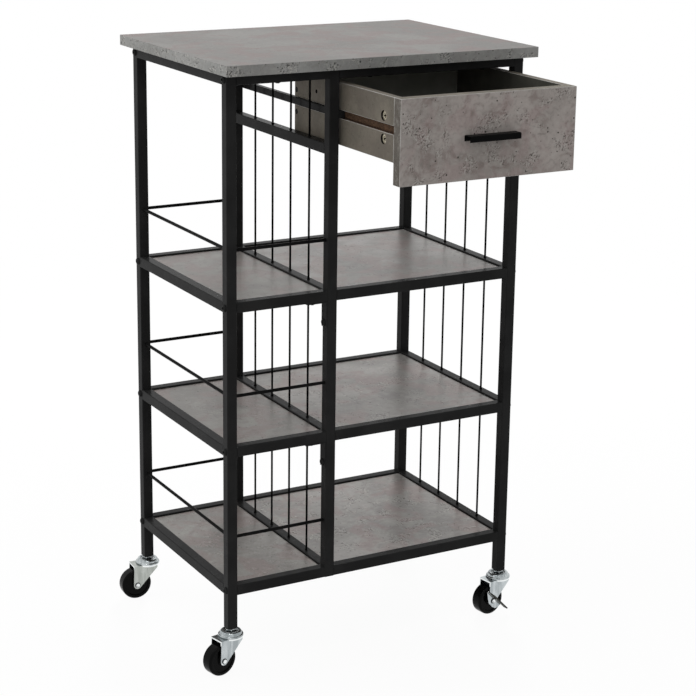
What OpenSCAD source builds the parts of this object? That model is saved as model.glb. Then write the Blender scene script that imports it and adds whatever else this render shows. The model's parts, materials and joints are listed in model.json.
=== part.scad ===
// Kitchen cart: square tube frame with worktop, shelves, wire grilles, a drawer on runner bars and casters
// X runs to the right, Y to the back and Z up; the drawer stands open as in daily use

/* [Frame] */
// Outside width over the corner posts
frame_w = 501; // [460:1:560]
// Outside depth over the corner posts
frame_d = 334; // [307:1:380]
// Length of a corner post
post_h = 842; // [800:1:900]
// Side of the square tube
tube = 16; // [15:0.5:18]
// Wall of the square tube
tube_wall = 1; // [0.8:0.1:1.1]
// Outer corner radius of the square tube
tube_round = 1.3; // [1.2:0.1:2.2]
// Left face of the divider posts, from the left face of the frame
divider_x = 165.5; // [150:0.5:190]
// Top of the lowest shelf rails above the foot of the posts
shelf_low = 69; // [60:0.5:90]
// Height from one shelf to the next
shelf_step = 220.5; // [190:0.5:230]
// Top of the rail beside the drawer, below the worktop
drawer_rail_drop = 112; // [106:0.5:125]

/* [Worktop and shelves] */
// Thickness of the worktop
top_t = 15.5; // [12:0.5:22]
// Overhang of the worktop on the left and right
over_side = 10.5; // [5:0.5:25]
// Overhang of the worktop at the front
over_front = 24.5; // [19:0.5:35]
// Overhang of the worktop at the back
over_back = 26.5; // [5:0.5:35]
// Thickness of a shelf panel
shelf_t = 10; // [8:0.5:10.5]
// Drop of a shelf panel below the top of its rails
shelf_drop = 2.5; // [1:0.5:2.5]
// Guard rods above the shelf rails
rod_up = 76.5; // [50:0.5:110]
// Diameter of a guard rod
rod_d = 5; // [4:0.5:8]
// Diameter of a grille wire
wire_d = 3.2; // [2.5:0.1:4]
// Number of wires in a grille
wire_count = 4; // [3:1:6]

/* [Drawer] */
// Gap between the top rails and the drawer
drawer_gap_top = 6.5; // [5:0.5:12]
// Gap between the drawer and the posts on each side
drawer_gap_side = 4; // [3.5:0.5:6]
// How far the drawer stands open
drawer_open = 149; // [0:1:200]
// Height of the drawer front
front_h = 123.5; // [110:0.5:135]
// Thickness of the drawer front
front_t = 18; // [15:0.5:18.5]
// Height of the drawer sides and back
side_h = 92; // [80:0.5:100]
// Thickness of the drawer sides and back
side_t = 12; // [11:0.5:15]
// Length of the drawer sides
side_len = 297; // [240:1:300]
// Thickness of the drawer bottom
bottom_t = 4; // [3:0.5:5]
// Width of a runner bar
runner_w = 9; // [8:0.5:10]
// Height of a runner bar
runner_h = 11; // [9:0.5:12]
// Length of the handle
handle_w = 85.5; // [75:0.5:130]
// Projection of the handle
handle_out = 16.5; // [14:0.5:25]
// Height of the handle
handle_h = 8.8; // [7:0.1:12]

/* [Casters] */
// Height of a caster from the floor to the foot of the posts
caster_h = 70.5; // [69:0.1:78]
// Diameter of a wheel
wheel_d = 50; // [45:0.5:52]
// Width of a wheel
wheel_w = 20; // [17:0.5:21]
// Distance of the wheel axle behind the swivel axis
trail = 22.1; // [20:0.1:25]
// Turn of the left front caster from trailing to the left
turn_left_front = 12; // [-180:0.5:180]
// Turn of the left rear caster
turn_left_rear = -3.5; // [-180:0.5:180]
// Turn of the right front caster
turn_right_front = 8.5; // [-180:0.5:180]
// Turn of the right rear caster
turn_right_rear = 6; // [-180:0.5:180]
// Slope of the brake pedals below level
brake_slope = 45; // [20:1:55]

/* [Fittings] */
// Shank diameter of the frame bolts
bolt_d = 6; // [5:0.5:6]
// Head diameter of the frame bolts
bolt_head_d = 11; // [9:0.5:12]
// Head height of the frame bolts
bolt_head_h = 3.2; // [2:0.1:4]
// Shank diameter of the wood screws
screw_d = 4; // [3:0.5:4.5]
// Head diameter of the wood screws
screw_head_d = 8; // [7:0.5:9]
// Head height of the wood screws
screw_head_h = 2; // [1.5:0.1:2.5]

/* [Hidden] */
$fn = 48;
// Extra length of a cutting shape past the face that it cuts
cut = 1;
// Room around a bolt or screw in its hole, on the diameter
hole_room = 0.4;
// Radial room of a running fit
run_fit = 0.05;
// Room between faces that slide or turn past each other
slide_fit = 0.3;

// Colours of the pieces
black_steel = "#262626";
zinc = "#c2c6c8";
laminate = "#8d8a86";
dark_board = "#191817";
fibre_board = "#5b4636";
black_rubber = "#141414";
plastic = "#1c1c1c";
brass_tone = "#a89468";

// Heights of the frame: rail undersides from the lowest level up
top_z = caster_h + post_h;
shelf_tops = [for (k = [0:2]) caster_h + shelf_low + k * shelf_step];
rail_z = [shelf_tops[0] - tube, shelf_tops[1] - tube, shelf_tops[2] - tube, top_z - tube];
drawer_rail_z = top_z - drawer_rail_drop - tube;

// Clear lengths between the posts
left_len = divider_x - tube;
bay_x = divider_x + tube;
right_len = frame_w - tube - bay_x;
side_rail_len = frame_d - 2 * tube;
bore_round = tube_round - tube_wall;
side_x = [0, divider_x, frame_w - tube];
row_y = [0, frame_d - tube];

// Solid length at a bolted rail end and the bolt that reaches into it
plug_len = 12;
bolt_len = tube + plug_len - 2;
bolt_hole = bolt_d + hole_room;
inner_head_d = min(bolt_head_d, tube - 2 * tube_wall - 1.6);

// Angle brackets between the left bay rails and the divider posts
bracket_t = 2;
bracket_w = tube - 1;
bracket_along = 34;
bracket_down = 40.5;
bracket_bolt_down = 33.5;
bracket_screw_in = 22;
bracket_screw_d = 5;
bracket_head_d = 8;
bracket_head_h = 2.6;
bracket_levels = [1, 2];

// Shelf panels on tabs, and the screws that hold them
shelf_room = 0.8;
tab_t = 1.2;
tab_w = 18;
tab_out = 15;
tab_screw_in = 8;
tab_places = [0.22, 0.78];
shelf_screw_len = 7;
screw_hole = screw_d + hole_room;

// Worktop screws through the top rails: places along the left and the right bay
left_screw_place = 0.46;
right_screw_places = [0.18, 0.82];
right_screw_x = [for (p = right_screw_places) bay_x + p * right_len];
top_screw_x = concat([tube + left_screw_place * left_len], right_screw_x);
top_screw_grip = 10;
worktop_round = 1.5;

// Grille wires with a small weld at each foot
weld_d = wire_d + 2;
weld_h = 2;
wire_y = [for (k = [1:wire_count]) tube + k * side_rail_len / (wire_count + 1)];
wire_from = [shelf_tops[0], shelf_tops[1], shelf_tops[2], drawer_rail_z + tube];
wire_to = [rail_z[1], rail_z[2], drawer_rail_z, rail_z[3]];

// Drawer box: drawer_y is the back face of the front
runner_start = 0.5;
runner_round = 1;
drawer_y = -runner_start - drawer_open;
drawer_x = bay_x + drawer_gap_side;
drawer_w = right_len - 2 * drawer_gap_side;
drawer_top = top_z - tube - drawer_gap_top;
side_z = drawer_top - side_h;
front_z = drawer_top - front_h;
runner_mid = side_z + side_h / 2;
groove_end_room = 0.8;
groove_low_room = 0.9;
groove_deep = runner_w - drawer_gap_side + groove_end_room;
groove_low = runner_mid - runner_h / 2 - groove_low_room;
groove_h = runner_h + groove_low_room + slide_fit;
bottom_up = 8;
bottom_slot = 4;
bottom_room = 0.15;
box_in_w = drawer_w - 2 * side_t;
box_in_d = side_len - side_t;
cam_d = 15;
cam_deep = 9;
cam_in = 28.5;
fitting_spread = 16.5;
cam_body_d = 14;
cam_shift = 0.4;
cam_low = 2;
pilot_d = 6;
pilot_in = 69;
pilot_up = 22.5;
back_screw_grip = 24;

// Handle of folded sheet, open at the ends and below
handle_t = 1.6;
handle_bend = 2;
handle_screw_apart = 64;
handle_screw_d = 4;
handle_head_d = 8;
handle_head_h = 2.4;
handle_screw_past = 1;

// Caster: heights are measured up from the foot of the post
stem_d = 8;
stem_up = 28;
insert_h = 30;
insert_room = 0.3;
neck_d = 12;
neck_h = 1.2;
nut_d = 18;
cap_d = 39;
cap_low = -12.3;
king_d = 8;
fork_plate_t = 2.2;
fork_top = cap_low - slide_fit;
fork_low = fork_top - fork_plate_t;
fork_leg_t = 2;
fork_room = 1.2;
fork_w = wheel_w + 2 * fork_room + 2 * fork_leg_t;
fork_eye_r = 6.6;
fork_back = trail + 5.4;
fork_disc_r = 18.6;
fork_nose_x = sqrt(fork_disc_r * fork_disc_r - fork_w * fork_w / 4) - 0.5;
fork_nose_drop = 4;
fork_eye_steps = 18;
axle_z = wheel_d / 2 - caster_h;
axle_d = 6;
axle_head_d = 9;
axle_head_h = 1.6;
lever_t = 1.5;
lever_out = 11;
pedal_from = -21;
pedal_to = 31;
pedal_v = axle_head_d / 2 + slide_fit + lever_t;
tread_round = 3.5;
tread_turns = [for (a = [0:18:90]) a];
caster_x = [tube / 2, tube / 2, frame_w - tube / 2, frame_w - tube / 2];
caster_y = [tube / 2, frame_d - tube / 2, tube / 2, frame_d - tube / 2];
caster_turn = [turn_left_front, turn_left_rear, turn_right_front, turn_right_rear];
has_brake = [false, false, true, true];

// Middle of the whole cart, drawer open, so that the origin lies under it on the floor
function wheel_mid_x(k) = caster_x[k] - trail * cos(caster_turn[k]);
function tread_out(a) = wheel_d / 2 - tread_round + tread_round * cos(a);
function tread_side(a) = wheel_w / 2 - tread_round + tread_round * sin(a);
function wheel_half_x(k) = max([for (a = tread_turns)
    abs(cos(caster_turn[k])) * tread_out(a) + abs(sin(caster_turn[k])) * tread_side(a)]);
wheel_low_x = [for (k = [0:3]) wheel_mid_x(k) - wheel_half_x(k)];
wheel_high_x = [for (k = [0:3]) wheel_mid_x(k) + wheel_half_x(k)];
low_x = min(-over_side, caster_x[0] - cap_d / 2, min(wheel_low_x));
high_x = max(frame_w + over_side, caster_x[2] + cap_d / 2, max(wheel_high_x));
low_y = min(-over_front, drawer_y - front_t - handle_out);
high_y = frame_d + over_back;
mid_x = (low_x + high_x) / 2;
mid_y = (low_y + high_y) / 2;

// Moves a piece from post corner coordinates to the middle of the cart
module centred() {
    translate([-mid_x, -mid_y, 0]) children();
}

// Moves a piece from swivel coordinates to its caster
module at_caster(k) {
    centred()
        translate([caster_x[k], caster_y[k], caster_h])
            rotate([0, 0, caster_turn[k]])
                children();
}

module rounded_square(size, r) {
    translate([r, 0]) square([size - 2 * r, size]);
    translate([0, r]) square([size, size - 2 * r]);
    for (x = [r, size - r], y = [r, size - r]) {
        translate([x, y]) circle(r);
    }
}

module tube_section() {
    difference() {
        rounded_square(tube, tube_round);
        translate([tube_wall, tube_wall]) rounded_square(tube - 2 * tube_wall, bore_round);
    }
}

// Open tube along Y from the origin
module tube_y(len) {
    translate([0, len, 0]) rotate([90, 0, 0]) linear_extrude(len) tube_section();
}

// Tube along X whose ends are solid for the given lengths, or open at zero
module tube_x(len, plug_low, plug_high) {
    hollow_from = plug_low > 0 ? plug_low : -cut;
    hollow_to = plug_high > 0 ? len - plug_high : len + cut;
    difference() {
        rotate([90, 0, 90]) linear_extrude(len) rounded_square(tube, tube_round);
        translate([hollow_from, tube_wall, tube_wall])
            rotate([90, 0, 90])
                linear_extrude(hollow_to - hollow_from)
                    rounded_square(tube - 2 * tube_wall, bore_round);
    }
}

// Hole along X through the middle of a tube that starts at the origin
module hole_x(d, from, to) {
    translate([from, tube / 2, tube / 2]) rotate([0, 90, 0]) cylinder(d = d, h = to - from);
}

// Domed bolt with a six-sided socket, its shank up Z and the underside of its head at zero
module bolt(shank_d, len, head_d, head_h) {
    socket_d = 0.45 * head_d;
    difference() {
        rotate_extrude()
            polygon([[0, -head_h], [0.2 * head_d, -head_h], [0.4 * head_d, -0.75 * head_h],
                [0.5 * head_d, -0.35 * head_h], [0.5 * head_d, 0], [shank_d / 2, 0],
                [shank_d / 2, len], [0, len]]);
        translate([0, 0, -head_h - cut]) cylinder(d = socket_d, h = 0.5 * head_h + cut, $fn = 6);
    }
}

// Pan head screw with a cross slot, its shank up Z and the underside of its head at zero
module screw(shank_d, len, head_d, head_h) {
    slot_w = 0.16 * head_d;
    slot_l = 0.56 * head_d;
    difference() {
        rotate_extrude()
            polygon([[0, -head_h], [0.32 * head_d, -head_h], [0.5 * head_d, -0.5 * head_h], [0.5 * head_d, 0],
                [shank_d / 2, 0], [shank_d / 2, len - shank_d], [0.1 * shank_d, len], [0, len]]);
        for (turn = [0, 90]) {
            rotate([0, 0, turn])
                translate([-slot_l / 2, -slot_w / 2, -head_h - cut])
                    cube([slot_l, slot_w, 0.5 * head_h + cut]);
        }
    }
}

// Post from its foot height up to the worktop, drilled for the rail bolts
module post(x, y, foot) {
    color(black_steel)
        centred()
            translate([x, y, 0])
                difference() {
                    translate([0, 0, foot]) linear_extrude(top_z - foot) tube_section();
                    for (z = rail_z) {
                        translate([0, 0, z]) hole_x(bolt_hole, -cut, tube + cut);
                    }
                    if (x == divider_x) {
                        for (k = bracket_levels) {
                            translate([0, 0, rail_z[k] - bracket_bolt_down - tube / 2])
                                hole_x(bolt_hole, -cut, tube / 2);
                        }
                    }
                }
}

module post_left_front() {
    post(side_x[0], row_y[0], caster_h);
}

module post_left_rear() {
    post(side_x[0], row_y[1], caster_h);
}

module post_divider_front() {
    post(side_x[1], row_y[0], rail_z[0]);
}

module post_divider_rear() {
    post(side_x[1], row_y[1], rail_z[0]);
}

module post_right_front() {
    post(side_x[2], row_y[0], caster_h);
}

module post_right_rear() {
    post(side_x[2], row_y[1], caster_h);
}

// Three rails along Y at one level, each welded between two posts
module side_rails(z) {
    color(black_steel)
        centred()
            for (x = side_x) {
                translate([x, tube, z]) tube_y(side_rail_len);
            }
}

module side_rails_low() {
    side_rails(rail_z[0]);
}

module side_rails_middle() {
    side_rails(rail_z[1]);
}

module side_rails_high() {
    side_rails(rail_z[2]);
}

module side_rails_top() {
    side_rails(rail_z[3]);
}

// Short rail of the left bay: bolted at the corner post, open at the divider post
module left_rail(k) {
    difference() {
        tube_x(left_len, plug_len, 0);
        hole_x(bolt_hole, -cut, plug_len + cut);
        if (len(search(k, bracket_levels)) > 0) {
            translate([left_len - bracket_screw_in, tube / 2, -cut])
                cylinder(d = bracket_screw_d + hole_room, h = tube / 2);
        }
    }
}

// Long rail of the right bay: bolted at both ends
module right_rail() {
    difference() {
        tube_x(right_len, plug_len, plug_len);
        hole_x(bolt_hole, -cut, plug_len + cut);
        hole_x(bolt_hole, right_len - plug_len - cut, right_len + cut);
    }
}

// Four rails along X at one level, front and back of both bays
module cross_rails(k) {
    for (y = row_y) {
        translate([tube, y, rail_z[k]]) left_rail(k);
        translate([bay_x, y, rail_z[k]]) right_rail();
    }
}

module cross_rails_low() {
    color(black_steel) centred() cross_rails(0);
}

module cross_rails_middle() {
    color(black_steel) centred() cross_rails(1);
}

module cross_rails_high() {
    color(black_steel) centred() cross_rails(2);
}

// Top rails are also drilled upright for the worktop screws
module cross_rails_top() {
    color(black_steel)
        centred()
            difference() {
                cross_rails(3);
                for (x = top_screw_x, y = row_y) {
                    translate([x, y + tube / 2, rail_z[3] - cut])
                        cylinder(d = screw_hole, h = tube + 2 * cut);
                }
            }
}

// Lower rails beside the drawer, in the divider and in the right side
module drawer_rails() {
    color(black_steel)
        centred()
            for (x = [side_x[1], side_x[2]]) {
                translate([x, tube, drawer_rail_z]) tube_y(side_rail_len);
            }
}

module runner_section() {
    translate([runner_round, 0]) square([runner_w - 2 * runner_round, runner_h]);
    translate([0, runner_round]) square([runner_w, runner_h - 2 * runner_round]);
    for (x = [runner_round, runner_w - runner_round], y = [runner_round, runner_h - runner_round]) {
        translate([x, y]) circle(runner_round);
    }
}

// Bars on the inner faces of the posts that run in the grooves of the drawer sides
module drawer_runners() {
    runner_len = frame_d - 2 * runner_start;
    color(black_steel)
        centred()
            for (x = [bay_x, bay_x + right_len - runner_w]) {
                translate([x, runner_start + runner_len, runner_mid - runner_h / 2])
                    rotate([90, 0, 0])
                        linear_extrude(runner_len)
                            runner_section();
            }
}

module worktop() {
    plan_w = frame_w + 2 * over_side;
    plan_d = frame_d + over_front + over_back;
    r = worktop_round;
    color(laminate)
        centred()
            difference() {
                translate([-over_side, -over_front, top_z])
                    linear_extrude(top_t) {
                        translate([r, 0]) square([plan_w - 2 * r, plan_d]);
                        translate([0, r]) square([plan_w, plan_d - 2 * r]);
                        for (x = [r, plan_w - r], y = [r, plan_d - r]) {
                            translate([x, y]) circle(r);
                        }
                    }
                for (x = top_screw_x, y = row_y) {
                    translate([x, y + tube / 2, top_z - cut])
                        cylinder(d = screw_hole, h = top_screw_grip + 2 * cut);
                }
            }
}

// Panel between the rails of one bay, resting on the tabs and drilled from below
module shelf(x, bay_len, k) {
    under = shelf_tops[k] - shelf_drop - shelf_t;
    color(laminate)
        centred()
            difference() {
                translate([x + shelf_room, tube + shelf_room, under])
                    cube([bay_len - 2 * shelf_room, side_rail_len - 2 * shelf_room, shelf_t]);
                for (p = tab_places, y = [tube + tab_screw_in, frame_d - tube - tab_screw_in]) {
                    translate([x + p * bay_len, y, under - cut])
                        cylinder(d = screw_hole, h = shelf_screw_len + cut);
                }
            }
}

module shelf_left_low() {
    shelf(tube, left_len, 0);
}

module shelf_right_low() {
    shelf(bay_x, right_len, 0);
}

module shelf_left_middle() {
    shelf(tube, left_len, 1);
}

module shelf_right_middle() {
    shelf(bay_x, right_len, 1);
}

module shelf_left_high() {
    shelf(tube, left_len, 2);
}

module shelf_right_high() {
    shelf(bay_x, right_len, 2);
}

// Tabs welded to the inner faces of the cross rails under every panel
module shelf_tabs() {
    color(black_steel)
        centred()
            for (z = shelf_tops, bay = [[tube, left_len], [bay_x, right_len]], p = tab_places) {
                translate([bay[0] + p * bay[1], 0, z - shelf_drop - shelf_t - tab_t])
                    for (back = [0, 1]) {
                        tab_y = back == 0 ? tube : frame_d - tube - tab_out;
                        screw_y = back == 0 ? tube + tab_screw_in : frame_d - tube - tab_screw_in;
                        difference() {
                            translate([-tab_w / 2, tab_y, 0]) cube([tab_w, tab_out, tab_t]);
                            translate([0, screw_y, -cut]) cylinder(d = screw_hole, h = tab_t + 2 * cut);
                        }
                    }
            }
}

module shelf_screws() {
    color(zinc)
        centred()
            for (z = shelf_tops, bay = [[tube, left_len], [bay_x, right_len]], p = tab_places) {
                for (y = [tube + tab_screw_in, frame_d - tube - tab_screw_in]) {
                    translate([bay[0] + p * bay[1], y, z - shelf_drop - shelf_t - tab_t])
                        screw(screw_d, shelf_screw_len, screw_head_d, screw_head_h);
                }
            }
}

// Round rods on three sides of the left bay at every shelf
module guard_rods() {
    color(black_steel)
        centred()
            for (z = shelf_tops) {
                translate([tube / 2, tube, z + rod_up])
                    rotate([-90, 0, 0])
                        cylinder(d = rod_d, h = side_rail_len);
                for (y = row_y) {
                    translate([tube, y + tube / 2, z + rod_up])
                        rotate([0, 90, 0])
                            cylinder(d = rod_d, h = left_len);
                }
            }
}

// Upright wires between the rails of one side
module grille(x) {
    color(black_steel)
        centred()
            for (y = wire_y, k = [0:3]) {
                translate([x + tube / 2, y, wire_from[k]]) {
                    cylinder(d = wire_d, h = wire_to[k] - wire_from[k]);
                    cylinder(d1 = weld_d, d2 = wire_d, h = weld_h);
                }
            }
}

module grille_divider() {
    grille(side_x[1]);
}

module grille_right() {
    grille(side_x[2]);
}

// Angles under the left bay rails that bolt to the divider posts
module angle_brackets() {
    color(black_steel)
        centred()
            for (k = bracket_levels, y = row_y) {
                translate([divider_x, y + tube / 2, rail_z[k]])
                    difference() {
                        union() {
                            translate([-bracket_along, -bracket_w / 2, -bracket_t])
                                cube([bracket_along, bracket_w, bracket_t]);
                            translate([-bracket_t, -bracket_w / 2, -bracket_down])
                                cube([bracket_t, bracket_w, bracket_down]);
                        }
                        translate([-bracket_screw_in, 0, -bracket_t - cut])
                            cylinder(d = bracket_screw_d + hole_room, h = bracket_t + 2 * cut);
                        translate([-bracket_t - cut, 0, -bracket_bolt_down])
                            rotate([0, 90, 0])
                                cylinder(d = bolt_hole, h = bracket_t + 2 * cut);
                    }
            }
}

module bracket_bolts() {
    color(black_steel)
        centred()
            for (k = bracket_levels, y = row_y) {
                translate([divider_x, y + tube / 2, rail_z[k]]) {
                    translate([-bracket_screw_in, 0, -bracket_t])
                        bolt(bracket_screw_d, bracket_t + tube / 2 - cut, bracket_head_d, bracket_head_h);
                    translate([-bracket_t, 0, -bracket_bolt_down])
                        rotate([0, 90, 0])
                            bolt(bolt_d, bracket_t + tube / 2 - cut, bolt_head_d, bolt_head_h);
                }
            }
}

// Bolts through the corner posts into the rail ends, heads on the outer faces
module frame_bolts() {
    color(black_steel)
        centred()
            for (z = rail_z, y = row_y) {
                translate([0, y + tube / 2, z + tube / 2]) {
                    rotate([0, 90, 0]) bolt(bolt_d, bolt_len, bolt_head_d, bolt_head_h);
                    translate([frame_w, 0, 0])
                        rotate([0, -90, 0])
                            bolt(bolt_d, bolt_len, bolt_head_d, bolt_head_h);
                }
            }
}

// Bolts through the divider posts, heads inside the open ends of the left bay rails
module divider_bolts() {
    color(black_steel)
        centred()
            for (z = rail_z, y = row_y) {
                translate([divider_x, y + tube / 2, z + tube / 2])
                    rotate([0, 90, 0])
                        bolt(bolt_d, bolt_len, inner_head_d, bolt_head_h);
            }
}

module worktop_screws() {
    color(black_steel)
        centred()
            for (x = top_screw_x, y = row_y) {
                translate([x, y + tube / 2, rail_z[3]])
                    screw(screw_d, tube + top_screw_grip, screw_head_d, screw_head_h);
            }
}

// Sockets for the caster stems, pressed into the feet of the corner posts
module post_inserts() {
    side = tube - 2 * tube_wall - insert_room;
    color(plastic)
        centred()
            for (k = [0:3]) {
                translate([caster_x[k], caster_y[k], caster_h])
                    difference() {
                        translate([-side / 2, -side / 2, 0])
                            linear_extrude(insert_h)
                                rounded_square(side, bore_round);
                        translate([0, 0, -cut]) cylinder(d = stem_d + 2 * run_fit, h = insert_h + 2 * cut);
                    }
            }
}

// Plugs that close the feet of the divider posts, with a small button below
module post_caps() {
    side = tube - 2 * tube_wall - insert_room;
    button_d = 9.5;
    button_h = 2;
    spigot_h = tube / 2 - bolt_d / 2 - 1;
    color(plastic)
        centred()
            for (y = row_y) {
                translate([divider_x + tube / 2, y + tube / 2, rail_z[0]]) {
                    rotate_extrude()
                        polygon([[0, -button_h], [0.25 * button_d, -button_h],
                            [0.43 * button_d, -0.7 * button_h], [0.5 * button_d, -0.3 * button_h],
                            [0.5 * button_d, 0], [0, 0]]);
                    translate([-side / 2, -side / 2, 0])
                        linear_extrude(spigot_h)
                            rounded_square(side, bore_round);
                }
            }
}

module drawer_front() {
    mid = drawer_w / 2;
    color(laminate)
        centred()
            translate([drawer_x, drawer_y, front_z])
                difference() {
                    translate([0, -front_t, 0]) cube([drawer_w, front_t, front_h]);
                    translate([side_t - bottom_slot, -bottom_slot, side_z - front_z + bottom_up])
                        cube([box_in_w + 2 * bottom_slot, bottom_slot + cut, bottom_t + 2 * bottom_room]);
                    for (x = [mid - handle_screw_apart / 2, mid + handle_screw_apart / 2]) {
                        translate([x, cut, front_h / 2])
                            rotate([90, 0, 0])
                                cylinder(d = handle_screw_d + hole_room, h = front_t + 2 * cut);
                    }
                }
}

// Side board seen from outside: runner groove, cam seats, screw holes and a pilot hole
module side_board() {
    difference() {
        cube([side_t, side_len, side_h]);
        translate([-cut, -cut, groove_low - side_z]) cube([groove_deep + cut, side_len + 2 * cut, groove_h]);
        translate([side_t - bottom_slot, -cut, bottom_up])
            cube([bottom_slot + cut, box_in_d + bottom_slot + cut, bottom_t + 2 * bottom_room]);
        for (up = [-fitting_spread, fitting_spread]) {
            translate([-cut, cam_in, side_h / 2 + up])
                rotate([0, 90, 0])
                    cylinder(d = cam_d, h = cam_deep + cut);
            translate([-cut, side_len - side_t / 2, side_h / 2 + up]) rotate([0, 90, 0]) {
                cylinder(d = screw_hole, h = side_t + 2 * cut);
                cylinder(d = screw_head_d + hole_room, h = screw_head_h + cut);
            }
        }
        translate([-cut, side_len - pilot_in, side_h / 2 + pilot_up])
            rotate([0, 90, 0])
                cylinder(d = pilot_d, h = side_t / 2 + cut);
    }
}

module drawer_side_left() {
    color(laminate) centred() translate([drawer_x, drawer_y, side_z]) side_board();
}

module drawer_side_right() {
    color(laminate)
        centred()
            translate([drawer_x + drawer_w, drawer_y, side_z])
                mirror([1, 0, 0])
                    side_board();
}

module drawer_back() {
    color(laminate)
        centred()
            translate([drawer_x + side_t, drawer_y + box_in_d, side_z])
                difference() {
                    cube([box_in_w, side_t, side_h]);
                    translate([-cut, -cut, bottom_up])
                        cube([box_in_w + 2 * cut, bottom_slot + cut, bottom_t + 2 * bottom_room]);
                    for (up = [-fitting_spread, fitting_spread], x = [-cut, box_in_w - back_screw_grip]) {
                        translate([x, side_t / 2, side_h / 2 + up])
                            rotate([0, 90, 0])
                                cylinder(d = screw_hole, h = back_screw_grip + cut);
                    }
                }
}

// Loose panel in the slots of the front, sides and back
module drawer_bottom() {
    tongue = bottom_slot - bottom_room;
    color(dark_board)
        centred()
            translate([drawer_x + side_t - tongue, drawer_y - tongue, side_z + bottom_up + bottom_room])
                cube([box_in_w + 2 * tongue, box_in_d + 2 * tongue, bottom_t]);
}

// Channel open below, with rounded bends along its two upper corners
module channel(out, up, r) {
    translate([-out, 0]) square([out, up - r]);
    translate([r - out, up - r]) square([out - 2 * r, r]);
    for (x = [r - out, -r]) {
        translate([x, up - r]) circle(r);
    }
}

module handle_section() {
    difference() {
        channel(handle_out, handle_h, handle_bend);
        translate([-handle_t, -cut])
            channel(handle_out - 2 * handle_t, handle_h - handle_t + cut, handle_bend - handle_t);
    }
}

module drawer_handle() {
    color(black_steel)
        centred()
            translate([drawer_x + drawer_w / 2, drawer_y - front_t, front_z + front_h / 2])
                difference() {
                    translate([-handle_w / 2, 0, -handle_h / 2])
                        rotate([90, 0, 90])
                            linear_extrude(handle_w)
                                handle_section();
                    for (x = [-handle_screw_apart / 2, handle_screw_apart / 2]) {
                        translate([x, cut, 0])
                            rotate([90, 0, 0])
                                cylinder(d = handle_screw_d + hole_room, h = handle_t + 2 * cut);
                    }
                }
}

module handle_screws() {
    grip = front_t + handle_t + handle_screw_past;
    color(zinc)
        centred()
            for (x = [-handle_screw_apart / 2, handle_screw_apart / 2]) {
                translate([drawer_x + drawer_w / 2 + x, drawer_y, front_z + front_h / 2])
                    rotate([90, 0, 0])
                        screw(handle_screw_d, grip, handle_head_d, handle_head_h);
            }
}

// Cam with a cross slot, set a little forward in its seat
module cam() {
    slot_w = 2;
    slot_l = 7;
    slot_deep = 2.5;
    cam_h = cam_deep - cam_low;
    difference() {
        cylinder(d = cam_body_d, h = cam_h);
        for (turn = [20, 110]) {
            rotate([0, 0, turn])
                translate([-slot_l / 2, -slot_w / 2, cam_h - slot_deep])
                    cube([slot_l, slot_w, slot_deep + cut]);
        }
    }
}

module cam_locks() {
    color(brass_tone)
        centred()
            for (up = [-fitting_spread, fitting_spread]) {
                translate([drawer_x, drawer_y + cam_in - cam_shift, runner_mid + up]) {
                    translate([cam_deep, 0, 0]) rotate([0, -90, 0]) cam();
                    translate([drawer_w - cam_deep, 0, 0]) rotate([0, 90, 0]) cam();
                }
            }
}

module drawer_screws() {
    len = side_t - screw_head_h + back_screw_grip - cut;
    color(zinc)
        centred()
            for (up = [-fitting_spread, fitting_spread]) {
                translate([drawer_x, drawer_y + side_len - side_t / 2, runner_mid + up]) {
                    translate([screw_head_h, 0, 0])
                        rotate([0, 90, 0])
                            screw(screw_d, len, screw_head_d, screw_head_h);
                    translate([drawer_w - screw_head_h, 0, 0])
                        rotate([0, -90, 0])
                            screw(screw_d, len, screw_head_d, screw_head_h);
                }
            }
}

// Fixed stem with a six-sided nut, ridged bearing cap and riveted king pin, turned about the swivel axis
module stem() {
    king_low = fork_low - slide_fit;
    king_head_r = king_d / 2 + 3.5;
    king_head_h = 3;
    well = cap_low + 5.9;
    race_r = 3.2;
    race_mid = cap_d / 2 - 5.9;
    race_z = cap_low + 4.9;
    rim_r = 1.5;
    rim_mid = cap_d / 2 - rim_r;
    rim_z = cap_low + 1.6;
    race = [for (a = [165:-27.5:0]) [race_mid + race_r * cos(a), race_z + race_r * sin(a)]];
    rim = [for (a = [120:-30:0]) [rim_mid + rim_r * cos(a), rim_z + rim_r * sin(a)]];
    rotate_extrude()
        polygon(concat([[0, stem_up], [stem_d / 2 - 0.6, stem_up], [stem_d / 2, stem_up - 1],
            [stem_d / 2, 0], [neck_d / 2, 0], [neck_d / 2, well]], race, rim, [[cap_d / 2, cap_low],
            [king_d / 2, cap_low], [king_d / 2, king_low], [king_head_r, king_low],
            [king_head_r, king_low - king_head_h + 1], [king_head_r - 1, king_low - king_head_h],
            [0, king_low - king_head_h]]));
    translate([0, 0, well - cut]) cylinder(d = nut_d, h = cut - neck_h - well, $fn = 6);
}

module caster_stems() {
    color(zinc)
        for (k = [0:3]) {
            at_caster(k) stem();
        }
}

// Cheek of a fork in its own plane: steep heel edge, round eye, slanted nose edge
module fork_cheek() {
    nose = [fork_nose_x, fork_low - fork_nose_drop];
    heel = [-fork_back, fork_top];
    eye = [-trail, axle_z];
    to_nose = nose - eye;
    to_heel = heel - eye;
    nose_turn = atan2(to_nose[1], to_nose[0]) - acos(fork_eye_r / norm(to_nose));
    heel_turn = atan2(to_heel[1], to_heel[0]) + acos(fork_eye_r / norm(to_heel)) - 360;
    step = (heel_turn - nose_turn) / fork_eye_steps;
    eye_edge = [for (k = [0:fork_eye_steps])
        eye + fork_eye_r * [cos(nose_turn + k * step), sin(nose_turn + k * step)]];
    polygon(concat([heel, [fork_nose_x, fork_top], nose], eye_edge));
}

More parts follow.
